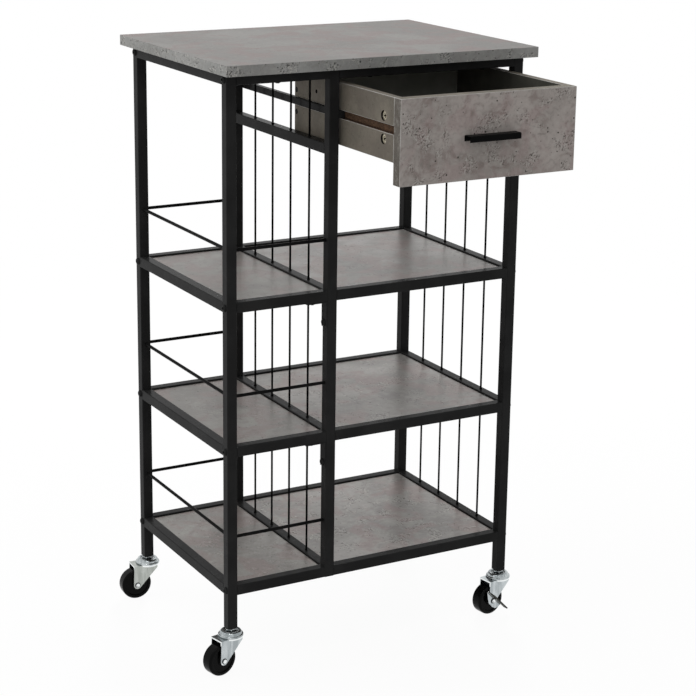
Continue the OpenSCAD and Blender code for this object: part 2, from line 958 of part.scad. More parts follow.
// Pressed fork: round top plate carried back over the wheel, and two cheeks
module fork() {
    difference() {
        union() {
            translate([0, 0, fork_low]) {
                cylinder(r = fork_disc_r, h = fork_plate_t);
                translate([-fork_back, -fork_w / 2, 0]) cube([fork_back, fork_w, fork_plate_t]);
            }
            for (y = [fork_leg_t - fork_w / 2, fork_w / 2]) {
                translate([0, y, 0]) rotate([90, 0, 0]) linear_extrude(fork_leg_t) fork_cheek();
            }
        }
        translate([0, 0, fork_low - cut]) cylinder(d = king_d + 2 * run_fit, h = fork_plate_t + 2 * cut);
        translate([-trail, fork_w / 2 + cut, axle_z])
            rotate([90, 0, 0])
                cylinder(d = axle_d + 2 * run_fit, h = fork_w + 2 * cut);
    }
}

module fork_left_front() {
    color(zinc) at_caster(0) fork();
}

module fork_left_rear() {
    color(zinc) at_caster(1) fork();
}

module fork_right_front() {
    color(zinc) at_caster(2) fork();
}

module fork_right_rear() {
    color(zinc) at_caster(3) fork();
}

// Riveted axle: longer at the near end where a brake lever sits on it
module axle(k) {
    near = fork_w / 2 + (has_brake[k] ? lever_t + 2 * slide_fit : 0);
    far = fork_w / 2;
    head_r = axle_head_d / 2;
    rim = 0.72 * head_r;
    dish_r = 0.5 * head_r;
    dish = 0.45 * axle_head_h;
    edge = 0.4 * axle_head_h;
    color(zinc)
        at_caster(k)
            translate([-trail, 0, axle_z])
                rotate([90, 0, 0])
                    rotate_extrude()
                        polygon([[0, -far - dish], [0.6 * dish_r, -far - dish], [dish_r, -far - axle_head_h],
                            [rim, -far - axle_head_h], [head_r, -far - edge], [head_r, -far],
                            [axle_d / 2, -far], [axle_d / 2, near], [head_r, near], [head_r, near + edge],
                            [rim, near + axle_head_h], [dish_r, near + axle_head_h],
                            [0.6 * dish_r, near + dish], [0, near + dish]]);
}

module axle_left_front() {
    axle(0);
}

module axle_left_rear() {
    axle(1);
}

module axle_right_front() {
    axle(2);
}

module axle_right_rear() {
    axle(3);
}

// Wheel with a hub, dished faces and a rounded tread
module wheel(k) {
    half = wheel_w / 2;
    r = wheel_d / 2;
    hub_r = axle_d / 2 + 5;
    dish = half - 2;
    rim_r = r - 6.5;
    near_edge = [for (a = tread_turns) [tread_out(a), tread_side(a)]];
    far_edge = [for (a = tread_turns) [tread_out(90 - a), -tread_side(90 - a)]];
    color(black_rubber)
        at_caster(k)
            translate([-trail, 0, axle_z])
                rotate([90, 0, 0])
                    rotate_extrude()
                        polygon(concat([[axle_d / 2 + run_fit, -half], [hub_r, -half], [hub_r + 0.6, -dish],
                            [rim_r, -dish], [rim_r + 0.8, -half]], far_edge, near_edge,
                            [[rim_r + 0.8, half], [rim_r, dish], [hub_r + 0.6, dish], [hub_r, half],
                            [axle_d / 2 + run_fit, half]]));
}

module wheel_left_front() {
    wheel(0);
}

module wheel_left_rear() {
    wheel(1);
}

module wheel_right_front() {
    wheel(2);
}

module wheel_right_rear() {
    wheel(3);
}

// Brake lever on the axle: flat plate with a pedal turned outward along its upper edge
module brake(k) {
    inner = -fork_w / 2 - slide_fit;
    plate = [[pedal_from, pedal_v], [pedal_from + 1, 2], [-12, -4], [-5, -8], [6, -8.5], [13.5, -6.5],
        [17.5, -1.5], [19, pedal_v]];
    pedal = [[pedal_from, 0], [pedal_to, 0], [pedal_to, lever_out - 3], [pedal_to - 3, lever_out],
        [pedal_from + 9, lever_out], [pedal_from, lever_t]];
    color(zinc)
        at_caster(k)
            translate([-trail, inner, axle_z])
                rotate([0, brake_slope, 0])
                    difference() {
                        union() {
                            rotate([90, 0, 0]) linear_extrude(lever_t) polygon(plate);
                            translate([0, 0, pedal_v - lever_t])
                                mirror([0, 1, 0])
                                    linear_extrude(lever_t)
                                        polygon(pedal);
                        }
                        translate([0, cut, 0])
                            rotate([90, 0, 0])
                                cylinder(d = axle_d + 2 * run_fit, h = lever_t + 2 * cut);
                    }
}

module brake_right_front() {
    brake(2);
}

module brake_right_rear() {
    brake(3);
}

worktop();
post_left_front();
post_left_rear();
post_divider_front();
post_divider_rear();
post_right_front();
post_right_rear();
side_rails_low();
side_rails_middle();
side_rails_high();
side_rails_top();
cross_rails_low();
cross_rails_middle();
cross_rails_high();
cross_rails_top();
drawer_rails();
drawer_runners();
shelf_left_low();
shelf_right_low();
shelf_left_middle();
shelf_right_middle();
shelf_left_high();
shelf_right_high();
shelf_tabs();
shelf_screws();
guard_rods();
grille_divider();
grille_right();
angle_brackets();
bracket_bolts();
frame_bolts();
divider_bolts();
worktop_screws();
post_inserts();
post_caps();
drawer_front();
drawer_side_left();
drawer_side_right();
drawer_back();
drawer_bottom();
drawer_handle();
handle_screws();
cam_locks();
drawer_screws();
caster_stems();
fork_left_front();
fork_left_rear();
fork_right_front();
fork_right_rear();
axle_left_front();
axle_left_rear();
axle_right_front();
axle_right_rear();
wheel_left_front();
wheel_left_rear();
wheel_right_front();
wheel_right_rear();
brake_right_front();
brake_right_rear();
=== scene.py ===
"""Kitchen cart: finishes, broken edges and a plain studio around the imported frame.

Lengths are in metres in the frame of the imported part: +X to the right, +Y to the back, +Z up.
"""

import json
import logging
import math
from dataclasses import dataclass, field, replace
from enum import Enum, IntEnum
from typing import Any, Dict, List, Mapping, Optional, Sequence, Tuple, Union

import bmesh
import bpy
from mathutils import Color, Matrix, Vector

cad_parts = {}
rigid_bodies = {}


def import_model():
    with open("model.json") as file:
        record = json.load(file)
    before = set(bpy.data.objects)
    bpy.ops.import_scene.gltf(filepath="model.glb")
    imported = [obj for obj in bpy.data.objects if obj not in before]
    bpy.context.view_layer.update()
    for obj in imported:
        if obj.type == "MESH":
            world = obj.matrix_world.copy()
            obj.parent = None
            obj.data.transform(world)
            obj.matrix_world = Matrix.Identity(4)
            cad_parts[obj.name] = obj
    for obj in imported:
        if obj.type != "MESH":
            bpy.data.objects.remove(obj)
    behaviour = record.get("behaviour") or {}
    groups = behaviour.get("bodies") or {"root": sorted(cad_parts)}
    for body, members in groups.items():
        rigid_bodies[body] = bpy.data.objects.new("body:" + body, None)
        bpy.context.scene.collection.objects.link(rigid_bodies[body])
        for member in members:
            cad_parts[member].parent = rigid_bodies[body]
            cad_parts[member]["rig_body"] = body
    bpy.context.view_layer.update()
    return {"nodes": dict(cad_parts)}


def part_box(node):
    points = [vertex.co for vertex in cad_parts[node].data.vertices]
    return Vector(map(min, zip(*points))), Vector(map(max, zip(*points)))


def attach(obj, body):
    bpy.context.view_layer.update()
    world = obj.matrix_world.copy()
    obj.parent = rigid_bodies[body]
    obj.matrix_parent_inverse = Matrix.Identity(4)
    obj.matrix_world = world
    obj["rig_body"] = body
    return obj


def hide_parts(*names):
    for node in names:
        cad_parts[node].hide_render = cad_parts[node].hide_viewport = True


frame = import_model()
LOG = logging.getLogger("kitchen_cart")

MM = 0.001
WHITE = (1.0, 1.0, 1.0, 1.0)
NOISE_MIDDLE = 0.5
SKY_RAYS = 8
ROUND_PROFILE = 0.5
Colour = Tuple[float, float, float, float]
Triple = Tuple[float, float, float]
Span = Tuple[float, float]


def tint(code: str) -> Colour:
    """Turns a screen colour into the linear colour that a shader takes.

    Args:
        code: Six hex digits after a hash sign.

    Returns:
        Linear red, green, blue and an alpha of one.
    """
    screen = Color([int(code[k:k + 2], 16) / 255 for k in (1, 3, 5)])
    linear = screen.from_srgb_to_scene_linear()
    return (linear.r, linear.g, linear.b, 1.0)


class Signal:
    """A shader socket that can stand in a Python expression."""

    def __init__(self, graph: "Graph", socket: bpy.types.NodeSocket) -> None:
        """Keeps the socket and the graph that it belongs to."""
        self.graph = graph
        self.socket = socket

    def _math(self, operation: str, *values: "Operand") -> "Signal":
        """Adds one Math node.

        Args:
            operation: The node's operation.
            values: Its values in order.

        Returns:
            The node's result.
        """
        return self.graph.add("ShaderNodeMath", {"operation": operation}, dict(enumerate(values)))

    def __add__(self, other: "Operand") -> "Signal":
        """Sum of two values."""
        return self._math("ADD", self, other)

    def __radd__(self, other: "Operand") -> "Signal":
        """Sum of two values."""
        return self._math("ADD", other, self)

    def __sub__(self, other: "Operand") -> "Signal":
        """Difference of two values."""
        return self._math("SUBTRACT", self, other)

    def __rsub__(self, other: "Operand") -> "Signal":
        """Difference of two values."""
        return self._math("SUBTRACT", other, self)

    def __mul__(self, other: "Operand") -> "Signal":
        """Product of two values."""
        return self._math("MULTIPLY", self, other)

    def __rmul__(self, other: "Operand") -> "Signal":
        """Product of two values."""
        return self._math("MULTIPLY", other, self)

    def most(self, other: "Operand") -> "Signal":
        """Larger of two values."""
        return self._math("MAXIMUM", self, other)

    def swing(self, spread: float) -> "Signal":
        """Noise about zero, scaled by a spread."""
        return (self - NOISE_MIDDLE) * spread

    def step(self, low: float, high: float) -> "Signal":
        """Smooth step of the value.

        Args:
            low: Value that gives zero.
            high: Value that gives one.

        Returns:
            The eased value from zero to one.
        """
        return self.graph.add(
            "ShaderNodeMapRange", {"interpolation_type": "SMOOTHSTEP"},
            {"Value": self, "From Min": low, "From Max": high})


Operand = Union[Signal, float]
Value = Union[Signal, float, Colour, Triple]
Key = Union[int, str]


class Graph:
    """The node tree of one material or of the surround."""

    def __init__(self, tree: bpy.types.NodeTree) -> None:
        """Empties the tree."""
        self.tree = tree
        tree.nodes.clear()

    @staticmethod
    def _socket(sockets: Any, key: Key) -> bpy.types.NodeSocket:
        """Finds a socket by place, identifier or name.

        Args:
            sockets: A node's inputs or outputs.
            key: Its place, identifier or name.

        Returns:
            The socket.
        """
        if isinstance(key, int):
            return sockets[key]
        return next(s for s in sockets if key in (s.identifier, s.name))

    def add(self, kind: str, settings: Optional[Mapping[str, Any]] = None,
            sockets: Optional[Mapping[Key, Value]] = None, out: Key = 0) -> Signal:
        """Adds a node, its settings first and then its sockets.

        Args:
            kind: The node's type.
            settings: Properties of the node.
            sockets: Values or links of its inputs.
            out: Which output to return.

        Returns:
            The chosen output.
        """
        node = self.tree.nodes.new(kind)
        for key, value in (settings or {}).items():
            setattr(node, key, value)
        for key, value in (sockets or {}).items():
            target = self._socket(node.inputs, key)
            if isinstance(value, Signal):
                self.tree.links.new(value.socket, target)
            else:
                target.default_value = value
        return Signal(self, self._socket(node.outputs, out))

    def also(self, signal: Signal, out: Key) -> Signal:
        """Another output of the node that gave a signal."""
        return Signal(self, self._socket(signal.socket.node.outputs, out))

    def end(self, kind: str, shader: Signal) -> None:
        """Links a shader to an output node."""
        self.tree.links.new(shader.socket, self.tree.nodes.new(kind).inputs["Surface"])

    def place(self, shift: Triple = (0.0, 0.0, 0.0), stretch: Triple = (1.0, 1.0, 1.0)) -> Signal:
        """Point on the piece in metres.

        Args:
            shift: Moves the pattern.
            stretch: Scales the pattern's axes.

        Returns:
            The point, which moves with the piece.
        """
        point = self.add("ShaderNodeTexCoord", out="Object")
        return self.add("ShaderNodeMapping", None, {"Vector": point, "Location": shift, "Scale": stretch})

    def noise(self, point: Signal, size: float, detail: float, rough: float, swirl: float) -> Signal:
        """Cloudy noise about one half.

        Args:
            point: Where it is read.
            size: Size of its patches in metres.
            detail: Octaves.
            rough: Weight of the small octaves.
            swirl: Distortion.

        Returns:
            The noise value.
        """
        return self.add("ShaderNodeTexNoise", {"noise_dimensions": "3D"}, {
            "Vector": point, "Scale": 1.0 / size, "Detail": detail, "Roughness": rough,
            "Distortion": swirl}, "Fac")

    def ragged(self, point: Signal, size: float, reach: float, detail: float = 2.0) -> Signal:
        """Point pushed about, so that round marks turn ragged.

        Args:
            point: The point.
            size: Size of the push's patches in metres.
            reach: How far it pushes in metres.
            detail: Octaves of the push.

        Returns:
            The pushed point.
        """
        push = self.add("ShaderNodeTexNoise", {"noise_dimensions": "3D"}, {
            "Vector": point, "Scale": 1.0 / size, "Detail": detail}, "Color")
        full = reach / NOISE_MIDDLE
        return self.add("ShaderNodeVectorMath", {"operation": "MULTIPLY_ADD"}, {
            0: push, 1: (full, full, full), 2: point})

    def moved(self, point: Signal, shift: Triple) -> Signal:
        """Point moved by a fixed step."""
        return self.add("ShaderNodeVectorMath", {"operation": "ADD"}, {0: point, 1: shift})

    def cells(self, point: Signal, size: float) -> Tuple[Signal, Signal]:
        """Scattered points.

        Args:
            point: Where they are read.
            size: Distance between points in metres.

        Returns:
            Distance to the nearest point in cell sizes, and a chance value per point.
        """
        settings = {"voronoi_dimensions": "3D", "feature": "F1"}
        sockets = {"Vector": point, "Scale": 1.0 / size, "Randomness": 1.0}
        colour = self.add("ShaderNodeTexVoronoi", settings, sockets, "Color")
        chance = self.add("ShaderNodeSeparateColor", None, {"Color": colour}, "Red")
        return self.also(colour, "Distance"), chance

    def mix(self, share: Operand, first: Value, second: Value) -> Signal:
        """Mixes two colours.

        Args:
            share: Weight of the second colour.
            first: First colour.
            second: Second colour.

        Returns:
            The mixed colour.
        """
        return self.add("ShaderNodeMix", {"data_type": "RGBA", "blend_type": "MIX"}, {
            "Factor_Float": share, "A_Color": first, "B_Color": second}, "Result_Color")

    def bump(self, height: Signal, strength: float, depth: float) -> Signal:
        """Turns a height into a normal.

        Args:
            height: Height from zero to one.
            strength: Strength of the effect.
            depth: Depth in metres of a height of one.

        Returns:
            The bent normal.
        """
        return self.add("ShaderNodeBump", None, {"Height": height, "Strength": strength, "Distance": depth})

    def hollow(self, reach: float, span: Span) -> Signal:
        """How closed in the surface lies.

        Args:
            reach: How far off a neighbour still counts, in metres.
            span: Shares of open sky that count as closed and as open.

        Returns:
            One in a hollow, zero in the open.
        """
        sky = self.add("ShaderNodeAmbientOcclusion", {"samples": SKY_RAYS}, {"Distance": reach}, "AO")
        return 1.0 - sky.step(*span)

    def surface(self, sockets: Mapping[Key, Value]) -> Signal:
        """Principled surface with those values and links."""
        return self.add("ShaderNodeBsdfPrincipled", None, sockets)

    def shown(self) -> Signal:
        """One for rays that show a thing itself, zero for rays that carry its light."""
        path = self.add("ShaderNodeLightPath", out="Is Camera Ray")
        return path.most(self.also(path, "Is Glossy Ray")).most(self.also(path, "Is Transmission Ray"))


@dataclass(frozen=True)
class Cloud:
    """A noise pattern and the span of its values over which it sets in."""

    size: float
    detail: float = 3.0
    rough: float = 0.5
    swirl: float = 0.0
    span: Span = (0.35, 0.7)

    def height(self, g: Graph, point: Signal) -> Signal:
        """Noise value at a point."""
        return g.noise(point, self.size, self.detail, self.rough, self.swirl)

    def share(self, g: Graph, point: Signal) -> Signal:
        """How far the pattern has set in at a point."""
        return self.height(g, point).step(*self.span)


@dataclass(frozen=True)
class Finish:
    """What a surface is made of."""

    name: str

    def shader(self, g: Graph) -> Signal:
        """Surface of the finish."""
        raise NotImplementedError

    def material(self) -> bpy.types.Material:
        """Builds the material."""
        made = bpy.data.materials.new(self.name)
        made.use_nodes = True
        graph = Graph(made.node_tree)
        graph.end("ShaderNodeOutputMaterial", self.shader(graph))
        return made


@dataclass(frozen=True)
class StoneLaminate(Finish):
    """Grey stone-look melamine: clouds, rose patches, stains, mottling, curled marks and dark pits."""

    pale: str = "#a6a29d"
    deep: str = "#93908b"
    rose: str = "#9b8987"
    smoke: str = "#827e78"
    pit: str = "#3f3b37"
    fleck: str = "#c4c1bb"
    stain: str = "#766560"
    rose_share: float = 0.5
    stain_share: float = 0.0
    mottle_share: float = 0.5
    pale_mottle: float = 0.5
    grain_share: float = 0.14
    curl_share: float = 0.3
    crowd_from: float = 0.5
    crowd_span: float = 0.12
    mark_slope: Span = (0.03, 0.15)
    pit_share: float = 0.6
    pit_space: float = 9.0 * MM
    pit_size: float = 0.16
    pit_rim: float = 0.03
    pit_chance: Span = (0.45, 0.52)
    shift: Triple = (0.0, 0.0, 0.0)
    stain_shift: Triple = (0.3, 0.7, 0.2)
    relief: Triple = (0.9 * MM, 0.9 * MM, -0.9 * MM)
    push_size: float = 3.2 * MM
    push_reach: float = 0.9 * MM
    roughness: float = 0.55
    grain_rough: float = 0.16
    mark_rough: float = 0.2
    grain_height: float = 0.4
    bump_strength: float = 0.3
    bump_depth: float = 0.12 * MM
    gloss: float = 0.16
    clouds: Cloud = Cloud(100 * MM, detail=4.0, rough=0.55, swirl=0.4, span=(0.34, 0.66))
    patches: Cloud = Cloud(45 * MM, detail=4.0, rough=0.52, swirl=0.6, span=(0.47, 0.6))
    stains: Cloud = Cloud(20 * MM, swirl=0.9, span=(0.52, 0.72))
    mottling: Cloud = Cloud(8.5 * MM, detail=5.0, rough=0.62, swirl=0.5, span=(0.5, 0.72))
    pale_span: Span = (0.3, 0.5)
    grain: Cloud = Cloud(1.6 * MM, rough=0.6, span=(0.3, 0.72))
    crowds: Cloud = Cloud(30 * MM, rough=0.55)
    curls: Cloud = Cloud(5.8 * MM, detail=2.5, rough=0.55, swirl=1.4)

    def ground(self, g: Graph, point: Signal) -> Signal:
        """Colour of the clouds, rose patches, stains and mottling.

        Args:
            g: The material's graph.
            point: Point on the piece.

        Returns:
            The colour under the grain and the marks.
        """
        tone = g.mix(self.clouds.share(g, point), tint(self.deep), tint(self.pale))
        tone = g.mix(self.patches.share(g, point) * self.rose_share, tone, tint(self.rose))
        if self.stain_share:
            stain = self.stains.share(g, g.moved(point, self.stain_shift))
            tone = g.mix(stain * self.stain_share, tone, tint(self.stain))
        mottle = self.mottling.height(g, point)
        tone = g.mix(mottle.step(*self.mottling.span) * self.mottle_share, tone, tint(self.smoke))
        light = (1.0 - mottle.step(*self.pale_span)) * (self.pale_mottle * self.mottle_share)
        return g.mix(light, tone, tint(self.fleck))

    def shader(self, g: Graph) -> Signal:
        """Surface of the finish."""
        point = g.place(self.shift)
        grain = self.grain.height(g, point)
        tone = g.mix(grain.step(*self.grain.span) * self.grain_share, self.ground(g, point), tint(self.fleck))
        edge = g.ragged(point, self.push_size, self.push_reach)
        crowd = self.crowds.height(g, point).step(self.crowd_from, self.crowd_from + self.crowd_span)
        curl = crowd * self.curl_share
        slope = self.curls.height(g, edge) - self.curls.height(g, g.moved(edge, self.relief))
        tone = g.mix((-1.0 * slope).step(*self.mark_slope) * curl, tone, tint(self.fleck))
        near, chance = g.cells(edge, self.pit_space)
        hollow = 1.0 - (near - chance * self.pit_size).step(-self.pit_rim, self.pit_rim)
        pit = hollow * chance.step(*self.pit_chance) * self.pit_share
        mark = pit.most(slope.step(*self.mark_slope) * curl)
        height = grain * self.grain_height - mark
        return g.surface({
            "Base Color": g.mix(mark, tone, tint(self.pit)),
            "Roughness": grain.swing(self.grain_rough) + mark * self.mark_rough + self.roughness,
            "Normal": g.bump(height, self.bump_strength, self.bump_depth),
            "Specular IOR Level": self.gloss})


@dataclass(frozen=True)
class PaleArris(Finish):
    """Edge of a laminated board, where the band turns to a paler line."""

    body: str = "#b3b0ab"
    worn: str = "#cfcdc9"
    chip: str = "#77736d"
    chip_share: float = 0.5
    roughness: float = 0.6
    worn_shine: float = 0.12
    bump_strength: float = 0.15
    bump_depth: float = 0.06 * MM
    gloss: float = 0.25
    rubbing: Cloud = Cloud(12 * MM, detail=4.0, rough=0.65, span=(0.38, 0.66))
    chips: Cloud = Cloud(1.8 * MM, detail=2.0, span=(0.62, 0.7))

    def shader(self, g: Graph) -> Signal:
        """Surface of the finish."""
        point = g.place()
        wear = self.rubbing.share(g, point)
        chip = self.chips.share(g, point)
        tone = g.mix(wear, tint(self.body), tint(self.worn))
        return g.surface({
            "Base Color": g.mix(chip * self.chip_share, tone, tint(self.chip)),
            "Roughness": self.roughness - wear * self.worn_shine,
            "Normal": g.bump(wear - chip, self.bump_strength, self.bump_depth),
            "Specular IOR Level": self.gloss})


@dataclass(frozen=True)
class PowderCoat(Finish):
    """Black powder coat: satin, with a fine orange-peel skin."""

    coat: str
    worn: str
    gloss: float
    roughness: float = 0.4
    drift_rough: float = 0.16
    peel_rough: float = 0.08
    bump_strength: float = 0.12
    bump_depth: float = 0.08 * MM
    drifts: Cloud = Cloud(50 * MM, rough=0.55)
    skin: Cloud = Cloud(1.4 * MM, detail=2.0)

    def shader(self, g: Graph) -> Signal:
        """Surface of the finish."""
        point = g.place()
        drift = self.drifts.height(g, point)
        peel = self.skin.height(g, point)
        return g.surface({
            "Base Color": g.mix(drift.step(*self.drifts.span), tint(self.coat), tint(self.worn)),
            "Roughness": drift.swing(self.drift_rough) + peel.swing(self.peel_rough) + self.roughness,
            "Normal": g.bump(peel, self.bump_strength, self.bump_depth),
            "Specular IOR Level": self.gloss})


@dataclass(frozen=True)
class ZincPlate(Finish):
    """Bright zinc on pressed or turned steel: faint drawing lines, and shade painted into the hollows."""

    pale: str = "#c9cfd1"
    dull: str = "#a2a9ab"
    hollow_shade: str = "#1f2122"
    hollow_shade_share: float = 0.85
    hollow_shade_reach: float = 2.5 * MM
    hollow_shade_span: Span = (0.3, 0.8)
    hollow_rough: float = 0.2
    roughness: float = 0.2
    cloud_rough: float = 0.12
    line_rough: float = 0.08
    bump_strength: float = 0.06
    bump_depth: float = 0.04 * MM
    cloud_stretch: Triple = (1.0, 1.0, 0.22)
    line_stretch: Triple = (1.0, 1.0, 0.1)
    clouds: Cloud = Cloud(7 * MM, swirl=0.3, span=(0.3, 0.7))
    lines: Cloud = Cloud(0.9 * MM, detail=2.0)

    def shader(self, g: Graph) -> Signal:
        """Surface of the finish."""
        cloud = self.clouds.height(g, g.place(stretch=self.cloud_stretch))
        line = self.lines.height(g, g.place(stretch=self.line_stretch))
        tone = g.mix(cloud.step(*self.clouds.span), tint(self.dull), tint(self.pale))
        # Painted shade: ambient occlusion darkens the base colour in the hollows.
        hollow = g.hollow(self.hollow_shade_reach, self.hollow_shade_span)
        rough = cloud.swing(self.cloud_rough) + line.swing(self.line_rough) + self.roughness
        return g.surface({
            "Base Color": g.mix(hollow * self.hollow_shade_share, tone, tint(self.hollow_shade)),
            "Roughness": rough + hollow * self.hollow_rough,
            "Metallic": 1.0,
            "Normal": g.bump(line, self.bump_strength, self.bump_depth)})


@dataclass(frozen=True)
class MouldedBlack(Finish):
    """Black moulded plastic: satin, with a faint grain and rubbed paler patches."""

    body: str = "#080808"
    rubbed: str = "#131313"
    rub_share: float = 0.5
    roughness: float = 0.24
    rub_rough: float = 0.12
    grain_rough: float = 0.08
    bump_strength: float = 0.12
    bump_depth: float = 0.05 * MM
    gloss: float = 0.065
    rubbing: Cloud = Cloud(9 * MM, detail=4.0, rough=0.58, swirl=0.5, span=(0.48, 0.72))
    grains: Cloud = Cloud(0.7 * MM, detail=2.0)

    def shader(self, g: Graph) -> Signal:
        """Surface of the finish."""
        point = g.place()
        rub = self.rubbing.share(g, point)
        grain = self.grains.height(g, point)
        return g.surface({
            "Base Color": g.mix(rub * self.rub_share, tint(self.body), tint(self.rubbed)),
            "Roughness": rub * self.rub_rough + grain.swing(self.grain_rough) + self.roughness,
            "Normal": g.bump(grain, self.bump_strength, self.bump_depth),
            "Specular IOR Level": self.gloss})


@dataclass(frozen=True)
class FibreCore(Finish):
    """Raw brown fibreboard where a board is routed or drilled, with shade painted into its holes and grooves.
    """

    pale: str = "#735945"
    deep: str = "#443428"
    hole_shade: str = "#0d0b09"
    hole_shade_reach: float = 7.0 * MM
    hole_shade_span: Span = (0.15, 0.75)
    layer_share: float = 0.4
    roughness: float = 0.82
    fibre_rough: float = 0.2
    bump_strength: float = 0.5
    bump_depth: float = 0.2 * MM
    gloss: float = 0.2
    fibre_stretch: Triple = (1.0, 0.25, 1.0)
    layer_stretch: Triple = (0.4, 0.2, 1.0)
    fibres: Cloud = Cloud(1.2 * MM, detail=5.0, rough=0.65, swirl=0.3, span=(0.34, 0.68))
    layers: Cloud = Cloud(6 * MM, span=(0.4, 0.7))

    def shader(self, g: Graph) -> Signal:
        """Surface of the finish."""
        fibre = self.fibres.height(g, g.place(stretch=self.fibre_stretch))
        layer = self.layers.share(g, g.place(stretch=self.layer_stretch))
        tone = g.mix(fibre.step(*self.fibres.span), tint(self.deep), tint(self.pale))
        tone = g.mix(layer * self.layer_share, tone, tint(self.deep))
        return g.surface({
            # Painted shade: ambient occlusion darkens the core in holes and grooves.
            "Base Color": g.mix(g.hollow(self.hole_shade_reach, self.hole_shade_span), tone, tint(self.hole_shade)),
            "Roughness": fibre.swing(self.fibre_rough) + self.roughness,
            "Normal": g.bump(fibre, self.bump_strength, self.bump_depth),
            "Specular IOR Level": self.gloss})


@dataclass(frozen=True)
class GreyLining(Finish):
    """Plain grey paper face inside the drawer."""

    body: str = "#4d4c46"
    pale: str = "#5b5a53"
    fleck: str = "#7d7a73"
    fleck_share: float = 0.25
    roughness: float = 0.62
    fleck_rough: float = 0.12
    bump_strength: float = 0.12
    bump_depth: float = 0.05 * MM
    gloss: float = 0.12
    clouds: Cloud = Cloud(60 * MM, detail=4.0, rough=0.6, swirl=0.3)
    flecks: Cloud = Cloud(1.2 * MM, rough=0.6, span=(0.58, 0.74))

    def shader(self, g: Graph) -> Signal:
        """Surface of the finish."""
        point = g.place()
        fleck = self.flecks.height(g, point)
        tone = g.mix(self.clouds.share(g, point), tint(self.body), tint(self.pale))
        return g.surface({
            "Base Color": g.mix(fleck.step(*self.flecks.span) * self.fleck_share, tone, tint(self.fleck)),
            "Roughness": fleck.swing(self.fleck_rough) + self.roughness,
            "Normal": g.bump(fleck, self.bump_strength, self.bump_depth),
            "Specular IOR Level": self.gloss})


@dataclass(frozen=True)
class CamMetal(Finish):
    """Yellowish die-cast metal of the cam locks, with shade painted into its slots."""

    pale: str = "#d3cdbb"
    deep: str = "#958b72"
    # Colour of the shade painted into the cross slots.
    slot: str = "#14120e"
    slot_shade_reach: float = 2.0 * MM
    slot_shade_span: Span = (0.45, 0.85)
    metal: float = 0.9
    roughness: float = 0.38
    cast_rough: float = 0.3
    bump_strength: float = 0.2
    bump_depth: float = 0.08 * MM
    casting: Cloud = Cloud(2.4 * MM, detail=4.0, rough=0.62, span=(0.34, 0.68))

    def shader(self, g: Graph) -> Signal:
        """Surface of the finish."""
        cast = self.casting.height(g, g.place())
        tone = g.mix(cast.step(*self.casting.span), tint(self.deep), tint(self.pale))
        return g.surface({
            # Painted shade: ambient occlusion lays the slot colour in the cross slots.
            "Base Color": g.mix(g.hollow(self.slot_shade_reach, self.slot_shade_span), tone, tint(self.slot)),
            "Roughness": cast.swing(self.cast_rough) + self.roughness,
            "Metallic": self.metal,
            "Normal": g.bump(cast, self.bump_strength, self.bump_depth)})


TOP_LAMINATE = StoneLaminate(
    "worktop_laminate", pale="#959391", deep="#888684", rose="#918381", rose_share=0.7, mottle_share=0.22,
    curl_share=0.16, pit_share=0.25, shift=(0.31, 0.12, 0.0))
SHELF_LAMINATE = StoneLaminate(
    "shelf_laminate", pale="#a4a19e", deep="#83807d", rose="#93807d", stain="#6a6260", rose_share=0.65,
    stain_share=0.3, mottle_share=0.6, curl_share=1.0, pit_share=0.7, shift=(0.07, 0.55, 0.2),
    roughness=0.36, gloss=0.3)
# Painted shade: a darker copy of the shelf laminate for the narrow bay.
NARROW_SHADED_LAMINATE = StoneLaminate(
    "narrow_painted_shade", pale="#8d8a86", deep="#73706c", rose="#806f6c", stain="#5c5451", rose_share=0.65,
    stain_share=0.4, mottle_share=0.4, curl_share=0.4, pit_share=0.7, shift=(0.47, 0.05, 0.8),
    roughness=0.36, gloss=0.3)
FRONT_LAMINATE = StoneLaminate(
    "drawer_front_laminate", pale="#b7aea9", deep="#9f9792", rose="#a79693", stain="#6f5a55",
    rose_share=0.65, stain_share=0.46, mottle_share=0.6, curl_share=0.72, crowd_from=0.515, pit_share=1.0,
    shift=(0.9, 0.4, 0.61))
SIDE_LAMINATE = StoneLaminate(
    "drawer_side_laminate", pale="#827b6f", deep="#6c665c", rose="#736960", smoke="#5d574e",
    fleck="#9a9489", rose_share=0.35, mottle_share=0.3, curl_share=0.15, pit_share=0.5, shift=(0.2, 1.4, 0.3))
FRONT_BAND = StoneLaminate(
    "front_edge_band", pale="#676159", deep="#57514a", rose="#5e564e", smoke="#4c4640", rose_share=0.2,
    mottle_share=0.5, curl_share=0.3, pit_share=0.6, pit_space=6.5 * MM, shift=(0.6, 0.9, 0.1))
EDGE_BAND = StoneLaminate(
    "edge_band", pale="#a3a3a1", deep="#8e8f8d", rose="#94908d", pit="#2a2826", rose_share=0.2,
    mottle_share=0.55, curl_share=0.8, crowd_from=0.48, pit_share=1.0, pit_space=6.0 * MM, pit_size=0.2,
    shift=(1.3, 0.8, 0.5))
# Paler line along the bevelled board edges, with paler patches and dark chips.
ARRIS = PaleArris("pale_edge_line")
STEEL = PowderCoat("powder_coat", coat="#292929", worn="#303030", roughness=0.26, gloss=0.022)
ROD_STEEL = PowderCoat("rod_coat", coat="#161616", worn="#1e1e1e", roughness=0.3, gloss=0.012)
WIRE_STEEL = PowderCoat("wire_coat", coat="#0a0a0a", worn="#101010", gloss=0.008)
HANDLE_STEEL = PowderCoat("handle_coat", coat="#080808", worn="#0d0d0d", roughness=0.36, gloss=0.03)
# Dark screw heads at the drawer sides' rear ends.
SCREW_STEEL = PowderCoat("dark_screw_head", coat="#0e0d0d", worn="#181716", roughness=0.34, gloss=0.12)
ZINC = ZincPlate("zinc_plate")
